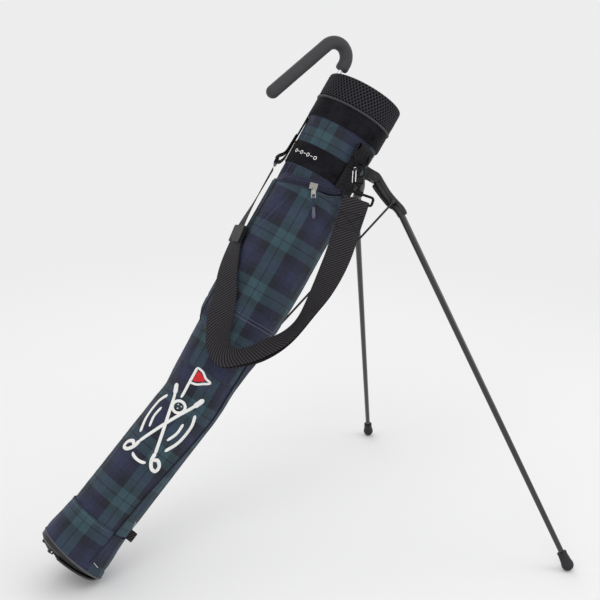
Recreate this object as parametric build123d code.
"""Golf stand bag leaning on its two open legs.

Two frames carry the design. The upper frame has its origin at the centre of the rim, z up
along the bag and x towards the legs; the lower frame has its origin at the centre of the base.
Places on the upper bag are given as (front, side, depth), where depth is measured down from
the rim. All sizes are in millimetres.
"""
from build123d import *
from copy import copy
import os
from math import atan2, cos, degrees, radians, sin, tan

# Stance
UPPER_TILT = 56.6
LOWER_TILT = 47.2
UPPER_LENGTH = 520.0
LOWER_LENGTH = 280.0
BASE_X = -38.0
BASE_Z = 39.2

# Bag tube: outer radius at each depth below the rim, then at each height above the base
BAND_TOP_RADIUS = 54.4
BAND_BOTTOM_RADIUS = 53.2
UPPER_RADII = [
    (38.6, 56.2), (74, 56.2), (112, BAND_TOP_RADIUS), (150, BAND_BOTTOM_RADIUS),
    (400, 49.0), (520, 45.3), (580, 45.3),
]
LOWER_RADII = [(340, 45.3), (280, 45.3), (70, 46.0), (12.5, 46.4)]
WALL = 2.2
SKIN_GAP = 0.06

# Flat along the front of the tube, under which the rods slide
FLAT_AT_BEND = 34.0
FLAT_TOP_DEPTH = 385.0
FLAT_AT_TOP = 43.0

# Collar, cuffs and band
CUFF_OUTER = 52.0
CUFF_INNER = 49.5
CUFF_DEPTH = 112.0
COLLAR_OUTER = 59.8
COLLAR_INNER = 47.5
COLLAR_DEPTH = 38.0
PIPING_DEPTH = 40.0
PIPING_RADIUS = 1.6
VELOUR_OUTER = 59.0
VELOUR_INNER = 56.6
VELOUR_TOP = 41.8
VELOUR_BOTTOM = 71.0
BAND_TOP = 112.7
BAND_BOTTOM = 147.6
BAND_THICKNESS = 1.3
DIVIDER_THICKNESS = 6.0
DIVIDER_TOP = 30.0
DIVIDER_HEIGHT = 16.0

# Base
BASE_RADIUS = 52.0
BASE_CUP_HEIGHT = 9.0
BASE_FLOOR = 3.0
BASE_LINER_HEIGHT = 30.0
BINDING_HEIGHT = 10.6
BINDING_RADIUS = 1.5
PANEL_TOP = 70.0
PANEL_TOP_RADIUS = 48.2
PANEL_WALL = 1.35

# Rod cover on the front of the tube
COVER_UPPER = [(425, 57.5), (445, 53.5), (480, 48.8), (520, 46.7), (580, 46.7)]
COVER_LOWER = [(340, 46.7), (280, 46.7), (72, 47.3)]
COVER_WALL = 1.2
COVER_EDGE = 12.0
COVER_CAVITY = 26.0

# Stand head and its screws
HEAD_BACK = 50.0
HEAD_FRONT = 58.5
HEAD_HALF_WIDTH = 26.0
HEAD_TOP = 91.5
HEAD_BOTTOM = 111.0
LUG_REACH = 22.0
SCREW_SIDE = 7.0
SCREW_DEPTHS = (96.0, 106.8)
SCREW_RADIUS = 1.8
SCREW_HEAD_RADIUS = 3.4

# Legs
LEG_SPLAY = 28.8
LEG_SPREAD = 55.0
PIVOT_FRONT = 70.0
PIVOT_SIDE = 24.0
PIVOT_DEPTH = 100.0
KNUCKLE_RADIUS = 7.5
KNUCKLE_HALF = 6.5
LUG_GAP = 0.35
LUG_THICKNESS = 3.4
PIN_RADIUS = 2.5
RUNNING_GAP = 0.06
CAP_RADIUS = 6.4
CAP_CROWN = 3.4
CAP_CROWN_START = 7.0
CAP_ALONG = 62.6
CAP_RISE = 9.2
CAP_OUT = 17.2
CAP_SOCKET = 7.0
TUBE_TOP_RADIUS = 5.0
TUBE_FOOT_RADIUS = 4.0
TUBE_WALL = 0.9
FOOT_RADIUS = 9.0
FOOT_NECK = 20.0

# Leg wires, slider and rods
WIRE_RADIUS = 1.6
WIRE_ALONG_CAP = 0.72
WIRE_STANDOFF = 13.2
WIRE_BEND = 4.5
WIRE_HOOK = 16.0
YOKE_FRONT = 46.5
YOKE_SIDE = 10.0
YOKE_DEPTH = 415.0
YOKE_THICKNESS = 5.4
YOKE_BACK = 42.7
ROD_RADIUS = 1.75
ROD_SIDE = 9.0
ROD_FRONT = 36.9
ROD_END = -1.6

# Base lever and its rubber foot
LEVER_TOP = -2.4
LEVER_THICKNESS = 2.6
LEVER_RADIUS = 49.0
LEVER_HINGE_BACK = 37.0
LEVER_PIN_RADIUS = 1.4
LEVER_AXIS_HEIGHT = LEVER_TOP - LEVER_THICKNESS / 2
LEVER_KNUCKLE_RADIUS = 2.9
LEVER_KNUCKLE_HALF = 13.7
LEVER_NOSE_BACK = 45.5
FOOT_HALF_WIDTH = 13.0
FOOT_INNER = 43.0
FOOT_CLIP = 50.0
FOOT_OUTER = 57.2
FOOT_LOW = -9.4
FOOT_HIGH = -0.6

# Handle
HANDLE_BACK = 54.6
HANDLE_ROD_RADIUS = 3.2
HANDLE_ROD_DEPTH = 69.0
HANDLE_BEND = 20.3
HANDLE_TURN = 160.0
HANDLE_REACH = 106.0
HANDLE_START = 5.0
HANDLE_RISE = 14.0
GRIP_RADIUS = 9.6

# Pocket and its zip
POCKET_RADII = [(130, 57.0), (150, 58.0), (185, 61.6), (260, 62.6), (377, 61.0), (405, 58.2), (430, 50.0)]
POCKET_FRONT_ANGLE = -32.0
POCKET_BACK_ANGLE = -190.0
POCKET_STRAP_FLAT = -58.9
ZIP_DEPTH = 158.0
ZIP_SLOPE = 0.31
ZIP_RADIUS = 60.6
ZIP_WIDTH = 7.0
ZIP_START = -78.0
ZIP_END = -166.0
SLIDER_ANGLE = -118.0

# Shoulder strap
STRAP_WIDTH = 38.0
STRAP_THICKNESS = 3.6
NEAR_HANG = (15.0, -63.6, 107.0)
NEAR_RING_BAR = (11.3, -59.4, 81.3)
NEAR_RING_WIDTH = 30.0
FAR_HANG = (-58.0, 31.0, 157.0)
GLIDE_STATION = 13
HOOK_EYE_WIDTH = 16.0
HOOK_WIRE_RADIUS = 1.9

# Edges of the hanging strap, (front, side, depth) along its inner and outer edges
STRAP_EDGES = [
    ((14, -71, 160), (46, -91, 153)),
    ((21, -73, 196), (52, -93, 184)),
    ((29, -78, 244), (57, -103, 231)),
    ((35, -84, 296), (49, -117, 283)),
    ((39, -84, 338), (39, -120, 327)),
    ((33, -80, 366), (29, -116, 378)),
    ((17, -76, 391), (12, -108, 414)),
    ((-2, -72, 412), (-12, -101, 437)),
    ((-19, -67, 421), (-33, -83, 451)),
    ((-31, -62, 405), (-52, -60, 436)),
    ((-39, -57, 378), (-64, -39, 398)),
    ((-48, -50, 350), (-64, -20, 366)),
    ((-58, -36, 320), (-67, 0, 329)),
    ((-66.5, -10, 274), (-61, 27, 277)),
    ((-67, 0, 254), (-57, 37, 256)),
    ((-66, 10, 212), (-50, 45, 212)),
    ((-66, 13, 166), (-48, 47, 166)),
]


def direction(tilt):
    return Vector(cos(radians(tilt)), 0, sin(radians(tilt)))


UPPER_AXIS = direction(UPPER_TILT)
LOWER_AXIS = direction(LOWER_TILT)
BASE_CENTRE = Vector(BASE_X, 0, BASE_Z)
BEND = BASE_CENTRE + LOWER_AXIS * LOWER_LENGTH
RIM = BEND + UPPER_AXIS * UPPER_LENGTH
BISECTOR = (UPPER_AXIS + LOWER_AXIS).normalized()
SLIDE_AXIS = BISECTOR * -1
HALF_BEND = (UPPER_TILT - LOWER_TILT) / 2

UPPER = Plane(origin=RIM, x_dir=Vector(UPPER_AXIS.Z, 0, -UPPER_AXIS.X), z_dir=UPPER_AXIS)
LOWER = Plane(origin=BASE_CENTRE, x_dir=Vector(LOWER_AXIS.Z, 0, -LOWER_AXIS.X), z_dir=LOWER_AXIS)
BEND_PLANE = Plane(origin=BEND, x_dir=Vector(BISECTOR.Z, 0, -BISECTOR.X), z_dir=BISECTOR)

FROM_START = (Align.CENTER, Align.CENTER, Align.MIN)

parts = {}


def at(place):
    """A (front, side, depth) place as a point of the upper frame."""
    front, side, depth = place
    return Vector(front, side, -depth)


def upper_point(place):
    return UPPER.from_local_coords(at(place))


def lower_point(front, side, height):
    return LOWER.from_local_coords(Vector(front, side, height))


def on_upper(shape):
    return UPPER.location * shape


def on_lower(shape):
    return LOWER.location * shape


def turned(profile):
    """Solid of revolution about z of a closed outline of (radius, z) points."""
    outline = Polyline(*[(radius, 0, z) for radius, z in profile], close=True)
    return revolve(make_face(outline), Axis.Z)


def turned_solid(stations):
    """Solid of revolution with the radius given at each z."""
    first = stations[0][0]
    last = stations[-1][0]
    return turned([(0, first)] + [(radius, z) for z, radius in stations] + [(0, last)])


def ring(outer, inner, low, high):
    return turned([(inner, low), (outer, low), (outer, high), (inner, high)])


def depth_solid(stations, extra=0.0):
    return turned_solid([(-depth, radius + extra) for depth, radius in stations])


def slab(x_low, x_high, y_low, y_high, z_low, z_high):
    size = Box(x_high - x_low, y_high - y_low, z_high - z_low)
    return Pos((x_low + x_high) / 2, (y_low + y_high) / 2, (z_low + z_high) / 2) * size


def half_disc_block(turn):
    """Everything on the near side of the axis, turned about it."""
    return Rot(0, 0, turn) * slab(-150, 150, -150, 0, -700, 200)


def rod_between(start, end, radius, end_radius=None):
    along = end - start
    place = Plane(origin=start, z_dir=along).location
    if end_radius is None:
        return place * Cylinder(radius, along.length, align=FROM_START)
    return place * Cone(radius, end_radius, along.length, align=FROM_START)


def swept_rod(points, bends, radius):
    """Round bar along straight runs joined by tangent arcs."""
    path = FilletPolyline(*points, radius=bends)
    return sweep(Plane(origin=path @ 0, z_dir=path % 0) * Circle(radius), path=path)


def rounded(shape, radius, edges=None):
    return fillet(shape.edges() if edges is None else edges, radius)


# Bag tube ------------------------------------------------------------------------------

FLAT_BEND_DEPTH = UPPER_LENGTH + FLAT_AT_BEND * tan(radians(HALF_BEND))
FLAT_SLOPE = (FLAT_AT_TOP - FLAT_AT_BEND) / (FLAT_BEND_DEPTH - FLAT_TOP_DEPTH)


def front_of_flat(drop):
    """Everything in front of the upper tube's flat, lowered by drop."""
    low = -600.0
    high = -240.0
    front_low = FLAT_AT_BEND + FLAT_SLOPE * (low + FLAT_BEND_DEPTH) - drop
    front_high = FLAT_AT_BEND + FLAT_SLOPE * (high + FLAT_BEND_DEPTH) - drop
    outline = Polyline(
        (front_low, 0, low), (120, 0, low), (120, 0, high), (front_high, 0, high), close=True)
    return extrude(make_face(outline), 100, dir=(0, 1, 0), both=True)


def upper_core(inset):
    """The upper tube's outer form, inset all round, with its flat, cut at the bend."""
    core = depth_solid(UPPER_RADII, -inset) - front_of_flat(inset)
    return split(on_upper(core), bisect_by=BEND_PLANE, keep=Keep.TOP)


def lower_core(inset):
    core = turned_solid([(height, radius - inset) for height, radius in LOWER_RADII])
    core = core - slab(FLAT_AT_BEND - inset, 120, -100, 100, -50, 400)
    return split(on_lower(core), bisect_by=BEND_PLANE, keep=Keep.BOTTOM)


HANDLE_CLEARANCE = on_upper(Pos(-HANDLE_BACK, 0, -36) * Cylinder(HANDLE_ROD_RADIUS + 0.12, 84))


def make_tube():
    parts["sleeve_upper"] = upper_core(0) - upper_core(WALL) - HANDLE_CLEARANCE
    parts["sleeve_lower"] = lower_core(0) - lower_core(WALL)


# Collar, cuffs and band ----------------------------------------------------------------

def make_top():
    cuff = ring(CUFF_OUTER, CUFF_INNER, -CUFF_DEPTH, -4)
    parts["top_cuff"] = on_upper(cuff) - HANDLE_CLEARANCE

    top = Polyline(
        (COLLAR_INNER, 0, -28), (CUFF_INNER - 0.15, 0, -28), (CUFF_INNER - 0.15, 0, -3.8),
        (CUFF_OUTER + 0.15, 0, -3.8), (CUFF_OUTER + 0.15, 0, -COLLAR_DEPTH),
        (COLLAR_OUTER, 0, -COLLAR_DEPTH), (COLLAR_OUTER, 0, 0), (COLLAR_INNER, 0, 0), close=True)
    section = make_face(top)
    upper_corners = section.vertices().sort_by(Axis.Z)[-2:]
    section = fillet(upper_corners, 3.4)
    parts["collar_pad"] = on_upper(revolve(section, Axis.Z)) - HANDLE_CLEARANCE

    piping = Pos(0, 0, -PIPING_DEPTH) * Torus(COLLAR_OUTER + 0.1 - PIPING_RADIUS, PIPING_RADIUS)
    parts["rim_piping"] = on_upper(piping) - HANDLE_CLEARANCE
    velour = ring(VELOUR_OUTER, VELOUR_INNER, -VELOUR_BOTTOM, -VELOUR_TOP)
    parts["velour_cuff"] = on_upper(velour) - HANDLE_CLEARANCE

    slope = (BAND_TOP_RADIUS - BAND_BOTTOM_RADIUS) / (150 - 112)
    band_low = BAND_TOP_RADIUS - slope * (BAND_BOTTOM - 112) + SKIN_GAP
    band_high = BAND_TOP_RADIUS - slope * (BAND_TOP - 112) + SKIN_GAP
    band = turned([
        (band_low, -BAND_BOTTOM), (band_low + BAND_THICKNESS, -BAND_BOTTOM),
        (band_high + BAND_THICKNESS, -BAND_TOP), (band_high, -BAND_TOP)])
    parts["stand_band"] = on_upper(band)

    divider = slab(
        -DIVIDER_THICKNESS / 2, DIVIDER_THICKNESS / 2, -CUFF_INNER + 0.2, CUFF_INNER - 0.2,
        -DIVIDER_TOP - DIVIDER_HEIGHT, -DIVIDER_TOP)
    divider = rounded(divider, 2.4, divider.edges().filter_by(Axis.Y))
    parts["mouth_divider"] = on_upper(divider)


# Base ----------------------------------------------------------------------------------

def lever_hinge_bar(radius, length):
    """Round bar along the base lever's hinge line."""
    return Pos(-LEVER_HINGE_BACK, 0, LEVER_AXIS_HEIGHT) * Rot(90, 0, 0) * Cylinder(radius, length)


def make_base():
    foot_of_panel = BINDING_HEIGHT + BINDING_RADIUS + 0.2
    panel = turned([
        (BASE_RADIUS - PANEL_WALL, foot_of_panel), (BASE_RADIUS, foot_of_panel),
        (PANEL_TOP_RADIUS, PANEL_TOP), (PANEL_TOP_RADIUS - PANEL_WALL, PANEL_TOP)])
    parts["base_panel"] = on_lower(panel)

    liner_outer = 48.9
    liner_inner = 46.7
    cup = turned([
        (0, 0), (BASE_RADIUS - 4, 0), (BASE_RADIUS, 3.5), (BASE_RADIUS, BASE_CUP_HEIGHT),
        (liner_outer, BASE_CUP_HEIGHT), (liner_outer - 0.9, BASE_LINER_HEIGHT),
        (liner_inner, BASE_LINER_HEIGHT), (liner_inner, BASE_FLOOR), (0, BASE_FLOOR)])
    for side in (-1, 1):
        slot = slab(ROD_FRONT - 2.6, ROD_FRONT + 5.4, -2.6, 2.6, -5, 8)
        cup = cup - Pos(0, side * ROD_SIDE, 0) * slot
    lug = slab(-LEVER_HINGE_BACK - 4, -LEVER_HINGE_BACK + 4, 14, 19, LEVER_AXIS_HEIGHT - 3, 0.6)
    cup = cup + lug + mirror(lug, about=Plane.XZ)
    parts["base_cup"] = on_lower(cup - lever_hinge_bar(LEVER_PIN_RADIUS + 0.01, 60))

    binding = Pos(0, 0, BINDING_HEIGHT) * Torus(BASE_RADIUS - BINDING_RADIUS + 0.4, BINDING_RADIUS)
    parts["base_binding"] = on_lower(binding)


def make_lever():
    low = LEVER_TOP - LEVER_THICKNESS
    plate = Pos(0, 0, LEVER_AXIS_HEIGHT) * Cylinder(LEVER_RADIUS, LEVER_THICKNESS)
    plate = plate - slab(-60, -LEVER_HINGE_BACK + 5.2, -60, 60, low - 1, LEVER_TOP + 1)
    knuckle = lever_hinge_bar(LEVER_KNUCKLE_RADIUS, 2 * LEVER_KNUCKLE_HALF)
    half = LEVER_KNUCKLE_HALF
    web = slab(-LEVER_HINGE_BACK, -LEVER_HINGE_BACK + 8, -half, half, low, LEVER_TOP)
    plate = plate + knuckle + web - lever_hinge_bar(LEVER_PIN_RADIUS + RUNNING_GAP, 60)
    shoulder = slab(LEVER_NOSE_BACK, 60, FOOT_HALF_WIDTH, 60, low - 1, LEVER_TOP + 1)
    plate = plate - shoulder - mirror(shoulder, about=Plane.XZ)
    parts["base_lever"] = on_lower(plate)

    foot = slab(FOOT_INNER, FOOT_OUTER, -FOOT_HALF_WIDTH, FOOT_HALF_WIDTH, FOOT_LOW, FOOT_HIGH)
    foot = rounded(foot, 2.0, foot.edges().filter_by(Axis.Z) + foot.edges().filter_by(Axis.X))
    rod_room = slab(FOOT_INNER - 1, FOOT_CLIP, -20, 20, LEVER_AXIS_HEIGHT, 5)
    ground = slab(-300, 300, -300, 300, -60, 0)
    parts["base_foot"] = on_lower(foot - rod_room) - parts["base_lever"] - ground
    parts["lever_pin"] = on_lower(lever_hinge_bar(LEVER_PIN_RADIUS, 39))


# Stand head and legs -------------------------------------------------------------------

OUT = Vector(-sin(radians(LEG_SPLAY)), -cos(radians(LEG_SPLAY)), 0)
AWAY = Vector(cos(radians(LEG_SPLAY)), -sin(radians(LEG_SPLAY)), 0)
DOWN_LEG = Vector(0, 0, -1) * cos(radians(LEG_SPREAD)) + AWAY * sin(radians(LEG_SPREAD))
PIVOT = Vector(PIVOT_FRONT, -PIVOT_SIDE, -PIVOT_DEPTH)
HINGE = Plane(origin=PIVOT, x_dir=AWAY, z_dir=OUT)
LEG = Plane(origin=PIVOT, x_dir=DOWN_LEG, z_dir=OUT)


def leg_point(along, rise, out):
    """World point of the near leg at rest."""
    return UPPER.from_local_coords(LEG.from_local_coords(Vector(along, rise, out)))


def on_leg(shape):
    return UPPER.location * LEG.location * shape


def world_direction(local):
    return UPPER.from_local_coords(local) - RIM


LEG_AXIS = world_direction(OUT)
LEG_DIRECTION = world_direction(DOWN_LEG)
TUBE_START = leg_point(CAP_ALONG, CAP_RISE, CAP_OUT)
TUBE_LENGTH = (TUBE_START.Z - FOOT_RADIUS) / -LEG_DIRECTION.Z
FOOT_CENTRE = TUBE_START + LEG_DIRECTION * TUBE_LENGTH

# Near wire: from the leg cap to the slider
WIRE_TOP = leg_point(CAP_ALONG * WIRE_ALONG_CAP, CAP_RISE * WIRE_ALONG_CAP,
                     CAP_OUT * WIRE_ALONG_CAP + WIRE_STANDOFF)
WIRE_FOOT = upper_point((YOKE_FRONT, -YOKE_SIDE, YOKE_DEPTH))
WIRE_LENGTH = (WIRE_FOOT - WIRE_TOP).length


def turn_about(point, origin, axis, angle):
    return origin + (point - origin).rotate(Axis((0, 0, 0), axis), angle)


def folded(point):
    """Where a point of the near leg goes when the leg folds against the bag."""
    return turn_about(point, UPPER.from_local_coords(PIVOT), LEG_AXIS, -LEG_SPREAD)


def slider_stroke():
    """Travel of the slider that keeps the wire's length when the leg is folded."""
    top = folded(WIRE_TOP)
    low, high = 0.0, 80.0
    for step in range(60):
        middle = (low + high) / 2
        if (WIRE_FOOT + SLIDE_AXIS * middle - top).length < WIRE_LENGTH:
            low = middle
        else:
            high = middle
    return low


STROKE = slider_stroke()
FOLDED_WIRE = WIRE_FOOT + SLIDE_AXIS * STROKE - folded(WIRE_TOP)
FOLDED_WIRE_ON_LEG = FOLDED_WIRE.rotate(Axis((0, 0, 0), LEG_AXIS), LEG_SPREAD)
OPEN_WIRE = WIRE_FOOT - WIRE_TOP
WIRE_AXIS = OPEN_WIRE.cross(FOLDED_WIRE_ON_LEG).normalized()
WIRE_TURN = OPEN_WIRE.get_angle(FOLDED_WIRE_ON_LEG)
LEVER_TURN = degrees(atan2(STROKE * cos(radians(HALF_BEND)), LEVER_HINGE_BACK + ROD_FRONT))


def make_head():
    block = slab(HEAD_BACK, HEAD_FRONT, -HEAD_HALF_WIDTH, HEAD_HALF_WIDTH, -HEAD_BOTTOM, -HEAD_TOP)
    block = rounded(block, 4, block.edges().filter_by(Axis.X))
    for offset in (KNUCKLE_HALF + LUG_GAP, -KNUCKLE_HALF - LUG_GAP - LUG_THICKNESS):
        outline = Circle(KNUCKLE_RADIUS) + Pos(-LUG_REACH / 2, 0) * Rectangle(LUG_REACH, 2 * KNUCKLE_RADIUS)
        lug = HINGE.location * Pos(0, 0, offset) * extrude(outline, LUG_THICKNESS)
        block = block + lug + mirror(lug, about=Plane.XZ)
    inner_lug = KNUCKLE_HALF + LUG_GAP - 0.02
    clear = HINGE.location * Cylinder(KNUCKLE_RADIUS + 0.8, 2 * inner_lug)
    passage = HINGE.location * slab(-8.2, 20, -30, 0.1, -inner_lug, inner_lug)
    bore = HINGE.location * Cylinder(PIN_RADIUS + 0.01, 60)
    for cutter in (clear, passage, bore):
        block = block - cutter - mirror(cutter, about=Plane.XZ)
    block = block - Pos(0, 0, -94) * Cylinder(VELOUR_INNER - 0.25, 60)

    screws = []
    backplate = ring(CUFF_INNER - 0.1, CUFF_INNER - 2.3, -109, -80) & slab(40, 60, -18, 18, -120, -70)
    for side in (-SCREW_SIDE, SCREW_SIDE):
        for depth in SCREW_DEPTHS:
            spot = Pos(0, side, -depth) * Rot(0, 90, 0)
            hole = spot * Pos(0, 0, 54) * Cylinder(SCREW_RADIUS + 0.1, 24)
            head_room = spot * Pos(0, 0, HEAD_FRONT + 9) * Cylinder(SCREW_HEAD_RADIUS + 0.3, 18)
            shank = Pos(0, 0, 53.4) * Cylinder(SCREW_RADIUS, 15.4)
            head = Pos(0, 0, HEAD_FRONT + 1.0) * Cylinder(SCREW_HEAD_RADIUS, 1.8)
            screws.append(spot * (shank + head))
            block = block - hole - head_room
            backplate = backplate - hole
            parts["sleeve_upper"] = parts["sleeve_upper"] - on_upper(hole)
            parts["top_cuff"] = parts["top_cuff"] - on_upper(hole)
    parts["stand_head"] = on_upper(block)
    parts["head_backplate"] = on_upper(backplate)
    parts["head_screws"] = on_upper(Compound(children=screws))


def leg_pieces():
    """The near leg's pieces in the model frame."""
    knuckle = Cylinder(KNUCKLE_RADIUS, 2 * KNUCKLE_HALF)
    end = (CAP_ALONG + CAP_SOCKET, CAP_RISE, CAP_OUT)
    arm = swept_rod(
        [(0, 0, 0), (30, 2.2, 2.6), (CAP_ALONG, CAP_RISE, CAP_OUT), end], [40, 18], CAP_RADIUS)
    crown = Pos(0, CAP_CROWN, 0) * arm - slab(-20, CAP_CROWN_START, -20, 20, -20, 20)
    cap = knuckle + arm + crown
    lug_zone = LUG_GAP + LUG_THICKNESS + 0.4
    for offset in (KNUCKLE_HALF, -KNUCKLE_HALF - lug_zone):
        room = Cylinder(KNUCKLE_RADIUS + 0.9, lug_zone, align=FROM_START)
        cap = cap - Pos(0, 0, offset) * room
    tip = Plane(origin=end, z_dir=(-1, 0, 0))
    cap = cap - tip.location * Cylinder(TUBE_TOP_RADIUS + 0.03, CAP_SOCKET - 1, align=FROM_START)
    cap = cap - Cylinder(PIN_RADIUS + RUNNING_GAP, 40)
    cap = on_leg(cap)
    wire_bore = rod_between(WIRE_TOP - WIRE_AXIS * (WIRE_HOOK + 1), WIRE_TOP, WIRE_RADIUS + RUNNING_GAP)
    cap = cap - wire_bore

    top = leg_point(CAP_ALONG + 1.2, CAP_RISE, CAP_OUT)
    bottom = FOOT_CENTRE
    tube = rod_between(top, bottom, TUBE_TOP_RADIUS, TUBE_FOOT_RADIUS)
    tube = tube - rod_between(top, bottom, TUBE_TOP_RADIUS - TUBE_WALL, TUBE_FOOT_RADIUS - TUBE_WALL)

    neck = rod_between(FOOT_CENTRE, FOOT_CENTRE - LEG_DIRECTION * FOOT_NECK, 7.4, 6.0)
    foot = Pos(*FOOT_CENTRE) * Sphere(FOOT_RADIUS) + neck
    socket_top = FOOT_CENTRE - LEG_DIRECTION * (FOOT_NECK + 2)
    foot = foot - rod_between(FOOT_CENTRE, socket_top, TUBE_FOOT_RADIUS + 0.02, TUBE_FOOT_RADIUS + 0.08)

    pin_half = KNUCKLE_HALF + LUG_GAP + LUG_THICKNESS + 1.2
    pin = on_upper(HINGE.location * Cylinder(PIN_RADIUS, 2 * pin_half))

    wire = swept_rod([WIRE_TOP - WIRE_AXIS * WIRE_HOOK, WIRE_TOP, WIRE_FOOT], [WIRE_BEND], WIRE_RADIUS)
    return {"leg_cap": cap, "leg_tube": tube, "leg_foot": foot, "pivot_pin": pin, "leg_wire": wire}


def make_legs():
    for name, shape in leg_pieces().items():
        parts[name + "_near"] = shape
        parts[name + "_far"] = mirror(shape, about=Plane.XZ)


def make_slider():
    low = -YOKE_DEPTH - 17
    bar = slab(YOKE_BACK, YOKE_BACK + YOKE_THICKNESS, -13, 13, low, low + 8)
    tongue = slab(YOKE_BACK, YOKE_BACK + YOKE_THICKNESS, -4, 4, low, low + 24)
    yoke = bar + tongue
    parts["actuator_yoke"] = on_upper(rounded(yoke, 1.2, yoke.edges().filter_by(Axis.X)))

    for side, name in ((-1, "near"), (1, "far")):
        bend = BEND_PLANE.from_local_coords(Vector(ROD_FRONT / cos(radians(HALF_BEND)), side * ROD_SIDE, 0))
        foot = lower_point(ROD_FRONT, side * ROD_SIDE, ROD_END)
        top = bend - SLIDE_AXIS * 93.0
        rod = swept_rod([top, bend, foot], [60.0], ROD_RADIUS)
        parts["actuator_rod_" + name] = rod
        parts["actuator_yoke"] = parts["actuator_yoke"] - rod

    guides = []
    for height in (120, 225):
        guide = slab(FLAT_AT_BEND + 0.02, FLAT_AT_BEND + 0.8, -16, 16, height - 9, height + 9)
        guide = guide + slab(FLAT_AT_BEND + 0.1, 41, -6.2, 6.2, height - 7, height + 7)
        for side in (-1, 1):
            wall = slab(FLAT_AT_BEND + 0.1, 41, 12.4, 15.6, height - 7, height + 7)
            guide = guide + (wall if side > 0 else mirror(wall, about=Plane.XZ))
        guides.append(guide)
    parts["rod_guides"] = on_lower(Compound(children=guides))


def make_cover():
    front = slab(COVER_EDGE, 150, -100, 100, -700, 700)
    inside = slab(COVER_CAVITY, 150, -100, 100, -700, 700)
    upper = on_upper(depth_solid(COVER_UPPER) & front)
    mouth_depth, mouth_radius = COVER_UPPER[0]
    hollow = [(mouth_depth - 1, mouth_radius)] + COVER_UPPER[1:]
    upper = upper - on_upper(depth_solid(hollow, -COVER_WALL) & inside)
    lower = on_lower(turned_solid(COVER_LOWER) & front)
    lower = lower - on_lower(turned_solid([
        (height, radius - COVER_WALL) for height, radius in COVER_LOWER[:-1]] + [
        (71, COVER_LOWER[-1][1] - COVER_WALL)]) & inside)
    upper = split(upper, bisect_by=BEND_PLANE, keep=Keep.TOP) - upper_core(-SKIN_GAP)
    lower = split(lower, bisect_by=BEND_PLANE, keep=Keep.BOTTOM) - lower_core(-SKIN_GAP)
    parts["rod_cover"] = upper + lower


# Handle --------------------------------------------------------------------------------

def make_handle():
    bend_centre = Vector(-HANDLE_BACK - HANDLE_BEND, 0, HANDLE_RISE)
    start = Vector(-HANDLE_BACK, 0, HANDLE_START)
    rise = Vector(-HANDLE_BACK, 0, HANDLE_RISE)
    turn = radians(HANDLE_TURN)
    middle = bend_centre + Vector(cos(turn / 2), 0, sin(turn / 2)) * HANDLE_BEND
    finish = bend_centre + Vector(cos(turn), 0, sin(turn)) * HANDLE_BEND
    tip = finish + Vector(-sin(turn), 0, cos(turn)) * HANDLE_REACH
    path = Wire([Edge.make_line(start, rise), Edge.make_three_point_arc(rise, middle, finish),
                 Edge.make_line(finish, tip)])
    grip = sweep(Plane(origin=start, z_dir=(0, 0, 1)) * Circle(GRIP_RADIUS), path=path)
    grip = grip + Pos(*tip) * Sphere(GRIP_RADIUS)
    bore = Pos(*start) * Cylinder(HANDLE_ROD_RADIUS, 18)
    parts["handle_grip"] = on_upper(grip - bore)
    rod_top = HANDLE_START + 9
    rod_middle = (rod_top - HANDLE_ROD_DEPTH) / 2
    rod_length = rod_top + HANDLE_ROD_DEPTH
    rod = Pos(-HANDLE_BACK, 0, rod_middle) * Cylinder(HANDLE_ROD_RADIUS, rod_length)
    parts["handle_rod"] = on_upper(rod)


# Pocket and zip ------------------------------------------------------------------------

ZIP_PLANE = Plane(origin=(0, 0, -ZIP_DEPTH), x_dir=(1, 0, ZIP_SLOPE), z_dir=(-ZIP_SLOPE, 0, 1))


def zip_arc(inner, outer, low, high, start, end):
    """Arc of rectangular section about the zip's own centre, between two angles."""
    band = ring(outer, inner, low, high)
    near = Rot(0, 0, start) * slab(-150, 150, -150, 0, low - 1, high + 1)
    back = Rot(0, 0, 180 + end) * slab(-150, 150, -150, 0, low - 1, high + 1)
    return band & near & back


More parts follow.
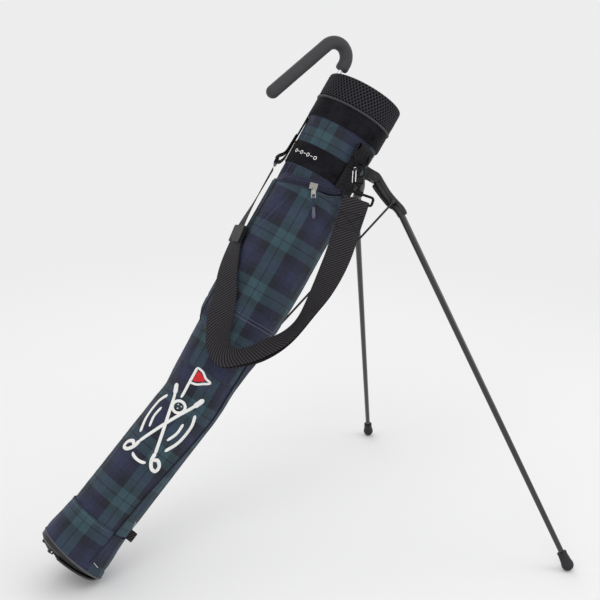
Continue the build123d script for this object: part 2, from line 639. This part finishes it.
def make_pocket():
    body = depth_solid(POCKET_RADII) & half_disc_block(POCKET_FRONT_ANGLE)
    body = body & half_disc_block(POCKET_BACK_ANGLE + 180)
    above_zip = ZIP_PLANE.location * slab(-150, 150, -150, 150, -4.2, 150)
    trimmed_front = Rot(0, 0, -62) * slab(0, 150, -150, 150, -700, -403)
    under_strap = slab(-150, POCKET_STRAP_FLAT, -30, 150, -700, 0)
    body = on_upper(body - above_zip - trimmed_front - under_strap) - upper_core(-SKIN_GAP)
    parts["pocket"] = body

    place = UPPER.location * ZIP_PLANE.location
    half = ZIP_WIDTH / 2
    tape = place * zip_arc(56.9, ZIP_RADIUS - 1.2, -4.0, 9.0, ZIP_START + 3, ZIP_END - 4)
    parts["zip_tape"] = tape - upper_core(-SKIN_GAP)
    parts["zip_chain"] = place * zip_arc(ZIP_RADIUS - 1.15, ZIP_RADIUS, -half, half, ZIP_START, ZIP_END)

    runner = zip_arc(ZIP_RADIUS + 0.35, ZIP_RADIUS + 3.6, -3.9, 5.2, SLIDER_ANGLE + 5, SLIDER_ANGLE - 5)
    bridge = zip_arc(ZIP_RADIUS + 3.5, ZIP_RADIUS + 8.0, -1.1, 1.1, SLIDER_ANGLE + 4, SLIDER_ANGLE - 4)
    eye = zip_arc(ZIP_RADIUS + 3.6, ZIP_RADIUS + 6.6, -3, 3, SLIDER_ANGLE + 2.3, SLIDER_ANGLE - 2.3)
    parts["zip_slider"] = place * (runner + (bridge - eye))

    spot = PULL_PLANE
    tab = slab(-3.2, 3.2, -0.7, 0.7, -16, -4.5) - slab(-1.9, 1.9, -2, 2, -14.4, -10.6)
    tab = rounded(tab, 0.6, tab.edges().filter_by(Axis.Y)) + slab(-0.7, 0.7, -0.6, 0.6, -4.6, -2.4)
    link = Plane(origin=slider_centre(), z_dir=PULL_AXIS).location * Torus(2.6, 0.6)
    parts["zip_pull"] = spot.location * tab + link
    cord = Pos(0, 0, -23) * Cylinder(1.5, 13)
    toggle = Pos(0, 0, -37) * Cylinder(2.6, 16)
    loop = slab(-1.4, 1.4, -1.8, 1.8, -17, -11.2) - slab(-2, 2, -0.85, 0.85, -16.2, -12.4)
    parts["zip_cord"] = spot.location * (cord + rounded(toggle, 1.4) + loop)


def slider_centre():
    angle = radians(SLIDER_ANGLE)
    radius = ZIP_RADIUS + 7.3
    return UPPER.from_local_coords(ZIP_PLANE.from_local_coords(
        Vector(radius * cos(angle), radius * sin(angle), 0)))


SLIDER_OUT = Vector(cos(radians(SLIDER_ANGLE)), sin(radians(SLIDER_ANGLE)), 0)
PULL_HANG = Vector(0.44, -0.234, -0.87).normalized()
PULL_ACROSS = PULL_HANG.cross(SLIDER_OUT).normalized()
PULL_AXIS = world_direction(ZIP_PLANE.z_dir.cross(SLIDER_OUT).normalized())
PULL_PLANE = Plane(
    origin=slider_centre(), x_dir=world_direction(PULL_ACROSS), z_dir=world_direction(PULL_HANG * -1))


# Strap and its fittings ----------------------------------------------------------------

def strap_middle(station):
    inner, outer = STRAP_EDGES[station]
    return (at(inner) + at(outer)) * 0.5


def strap_across(station):
    inner, outer = STRAP_EDGES[station]
    return (at(outer) - at(inner)).normalized()


# The ring at the strap's end lies in line with its first run; the hook hangs between ring and bag
STRAP_RISE = (strap_middle(0) - strap_middle(1)).normalized()
RING_SIDE = strap_across(0).cross(STRAP_RISE).normalized()
RING_PLANE = Plane(origin=strap_middle(0) + STRAP_RISE * 8.3, x_dir=strap_across(0),
                   z_dir=RING_SIDE.cross(strap_across(0)))
HOOK_DROP = RING_PLANE.from_local_coords(Vector(0, 0, 6)) - at(NEAR_HANG)
HOOK_PLANE = Plane(origin=at(NEAR_HANG), x_dir=Vector(-0.65, 0.76, 0.0), z_dir=HOOK_DROP * -1)


def strap_sections():
    """A closed rectangle across the strap at each of its stations, in the upper frame."""
    wires = []
    last = len(STRAP_EDGES) - 1
    for station in range(last + 1):
        along = (strap_middle(min(station + 1, last)) - strap_middle(max(station - 1, 0))).normalized()
        across = strap_across(station)
        face = along.cross(across).normalized()
        half_width = across * (STRAP_WIDTH / 2)
        half_depth = face * (STRAP_THICKNESS / 2)
        middle = strap_middle(station)
        corners = [middle - half_width - half_depth, middle + half_width - half_depth,
                   middle + half_width + half_depth, middle - half_width + half_depth]
        wires.append(Wire.make_polygon(corners, close=True))
    return wires


def round_loop(width, height, radius, bend):
    """Rectangular loop of round wire in the local xz plane, centred."""
    half_width = width / 2
    half_height = height / 2
    outline = Plane.XZ * RectangleRounded(2 * half_width, 2 * half_height, bend)
    path = outline.wire()
    return sweep(Plane(origin=path @ 0, z_dir=path % 0) * Circle(radius), path=path)


def d_loop(width, height, radius):
    """D-shaped loop of round wire in the local xz plane, centred, with its straight bar on top."""
    outline = Rectangle(width, height)
    corners = outline.vertices().sort_by(Axis.Y)
    outline = fillet(corners[:2], width / 2 - 2)
    outline = fillet(outline.vertices().sort_by(Axis.Y)[-2:], 3)
    path = (Plane.XZ * outline).wire()
    return sweep(Plane(origin=path @ 0, z_dir=path % 0) * Circle(radius), path=path)


def make_strap():
    webbing = Solid.make_loft(strap_sections(), ruled=True)
    parts["strap_webbing"] = on_upper(webbing)

    parts["strap_ring"] = on_upper(RING_PLANE.location * round_loop(45, 12, 1.9, 3.5))

    reach = HOOK_DROP.length
    eye = round_loop(HOOK_EYE_WIDTH, 22, HOOK_WIRE_RADIUS, 7.4)
    stem = slab(-7.2, 7.2, -3.2, 3.2, -28, -16.4)
    stem = rounded(stem, 2.2, stem.edges().filter_by(Axis.Z) + stem.edges().filter_by(Axis.X))
    frame = Pos(0, 0, -6.9) * eye + stem
    gate_gap = slab(HOOK_EYE_WIDTH / 2 - 3.3, 14, -4, 4, -13.6, -1.2)
    swivel_bore = Pos(0, 0, -24) * Cylinder(1.9 + RUNNING_GAP, 12)
    parts["hook_body"] = on_upper(HOOK_PLANE.location * (frame - gate_gap - swivel_bore))
    gate = Pos(HOOK_EYE_WIDTH / 2, 0, -7.4) * Cylinder(1.5, 11.6)
    parts["hook_gate"] = on_upper(HOOK_PLANE.location * gate)
    peg = Pos(0, 0, (-19.5 - reach) / 2) * Cylinder(1.9, reach - 19.5)
    collar = Pos(0, 0, -30.2) * Cylinder(4.2, 3.6)
    clasp = RING_PLANE.location * Pos(0, 0, 6) * Rot(0, 90, 0) * Cylinder(3.9, 12)
    ring_room = RING_PLANE.location * Pos(0, 0, 6) * Rot(0, 90, 0) * Cylinder(1.96, 20)
    swivel = HOOK_PLANE.location * (peg + collar) + clasp - ring_room
    parts["hook_swivel"] = on_upper(swivel)

    glide_across = strap_across(GLIDE_STATION)
    glide_along = (strap_middle(GLIDE_STATION) - strap_middle(GLIDE_STATION - 1)).normalized()
    glide = Plane(origin=strap_middle(GLIDE_STATION), x_dir=glide_across,
                  z_dir=glide_along.cross(glide_across))
    slider = extrude(RectangleRounded(46, 26, 3), 2.8, both=True)
    slot = slab(-STRAP_WIDTH / 2 - 0.4, STRAP_WIDTH / 2 + 0.4, -20, 20, -STRAP_THICKNESS / 2 - 0.1,
                STRAP_THICKNESS / 2 + 0.1)
    parts["tri_glide"] = on_upper(glide.location * (slider - slot) - webbing)


def make_rings():
    """The two rings on the bag that the strap hangs from, and their webbing tabs."""
    bar_place = at(NEAR_RING_BAR)
    near = Plane(origin=(bar_place + at(NEAR_HANG)) * 0.5, x_dir=(0.982, 0.19, 0),
                 z_dir=bar_place - at(NEAR_HANG))
    ring_height = (bar_place - at(NEAR_HANG)).length
    parts["d_ring_near"] = on_upper(near.location * d_loop(NEAR_RING_WIDTH, ring_height, 1.8))
    skin = depth_solid(UPPER_RADII, BAND_THICKNESS + 2.6 * SKIN_GAP + 1.4) - depth_solid(
        UPPER_RADII, BAND_THICKNESS + 2.6 * SKIN_GAP)
    tab = skin & slab(0, 23, -80, -30, -152, -79)
    bar_room = slab(0, 23, -63.4, -52, -85.4, -77.4)
    parts["d_ring_tab_near"] = on_upper(tab + bar_room) - on_upper(
        near.location * d_loop(NEAR_RING_WIDTH, ring_height, 1.85)) - upper_core(-SKIN_GAP)

    far_angle = degrees(atan2(FAR_HANG[1], FAR_HANG[0]))
    round_bag = Vector(-sin(radians(far_angle)), cos(radians(far_angle)), 0)
    far = Plane(origin=at(FAR_HANG) + Vector(0, 0, 4), x_dir=round_bag, z_dir=(0, 0, 1))
    parts["d_ring_far"] = on_upper(far.location * round_loop(44, 10, 1.8, 3.2))
    loop = Rot(0, 0, far_angle) * slab(30, 70, -19, 19, -152, -72)
    tab = skin & loop
    bar_room = Rot(0, 0, far_angle) * slab(55.0, 67.8, -18.6, 18.6, -151.9, -144.6)
    parts["d_ring_tab_far"] = on_upper(tab + bar_room) - on_upper(
        far.location * round_loop(44, 10, 1.85, 3.2)) - parts["stand_band"] - upper_core(-SKIN_GAP)


def make_all():
    make_tube()
    make_top()
    make_base()
    make_lever()
    make_head()
    make_legs()
    make_slider()
    make_cover()
    make_handle()
    make_pocket()
    make_strap()
    make_rings()


make_all()
everything = Compound([copy(shape) for shape in parts.values()]).bounding_box()
SHIFT = Vector(-everything.center().X, -everything.center().Y, -everything.min.Z)

os.makedirs("parts", exist_ok=True)
for node, shape in parts.items():
    export_step(shape.moved(Location(SHIFT)), f"parts/{node}.step")
print(len(parts), "nodes, shift", SHIFT, "stroke", round(STROKE, 2), "wire turn", round(WIRE_TURN, 2))
